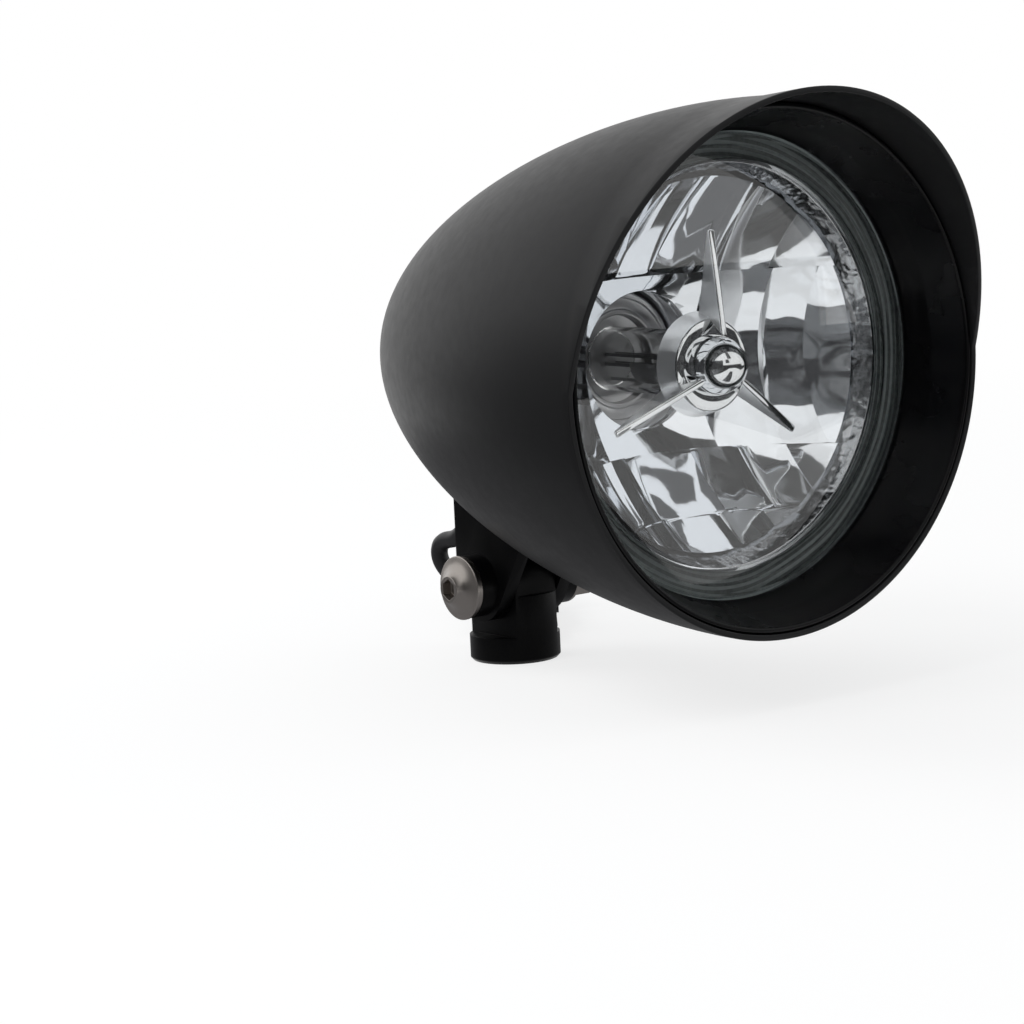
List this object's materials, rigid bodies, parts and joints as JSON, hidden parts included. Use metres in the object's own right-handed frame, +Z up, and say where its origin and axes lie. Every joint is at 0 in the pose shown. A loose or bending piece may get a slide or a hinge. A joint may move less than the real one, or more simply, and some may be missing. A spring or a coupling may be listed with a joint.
{
  "type": "motorcycle headlight",
  "caption": "Black bullet headlight with a peaked visor, clear domed lens and chrome spoked trim over a faceted reflector; it tilts on a clamped foot with a tapped hole.",
  "frame": {"origin": "centre of the mounting post's bottom face, at the mouth of its tapped hole", "axes": "+X is the way the lamp shines, +Y is to the rider's left, +Z is up along the post"},
  "size_m": [0.2159, 0.1331, 0.1501],
  "materials": {
    "shell_paint": "satin",
    "bezel_paint": "gloss",
    "foot_paint": "satin",
    "lens_clear": "clear",
    "bulb_clear": "clear",
    "bowl_mirror": "polished",
    "trim_chrome": "polished",
    "bright_steel": "satin",
    "plated_steel": "satin",
    "bulb_metal": "satin",
    "tungsten": "satin",
    "blade_brass": "satin",
    "black_rubber": "matt",
    "lead_sheath": "satin",
    "black_nylon": "matt"
  },
  "bodies": {
    "mount": {"mount_post": "foot_paint", "cable_lead": "lead_sheath", "cable_hank": "lead_sheath", "cable_tie": "black_nylon", "cable_connector": "black_nylon"},
    "lamp": {"shell": "shell_paint", "bezel_ring": "bezel_paint", "bezel_screw": "plated_steel", "lens_gasket": "black_rubber", "lens_glass": "lens_clear", "reflector": "bowl_mirror", "reflector_clips": "plated_steel", "trim_tribar": "trim_chrome", "bulb_collar": "bulb_metal", "bulb_glass": "bulb_clear", "bulb_shield": "bulb_metal", "bulb_filaments": "tungsten", "bulb_terminals": "blade_brass", "bulb_spring": "plated_steel", "dust_boot": "black_rubber", "bulb_plug": "black_nylon", "cable_grommet": "black_rubber", "inner_lead": "lead_sheath", "mount_bracket": "foot_paint", "bracket_screws": "plated_steel", "pivot_bolt": "bright_steel", "pivot_washers": "bright_steel", "pivot_nut": "bright_steel"}
  },
  "joints": [
    {"name": "headlight_tilt", "type": "hinge", "parent": "mount", "child": "lamp", "pos_m": [0, 0, 0.0212], "axis": [0, 1, 0], "range_deg": [-20, 20], "deforming": ["cable_lead"]}
  ]
}
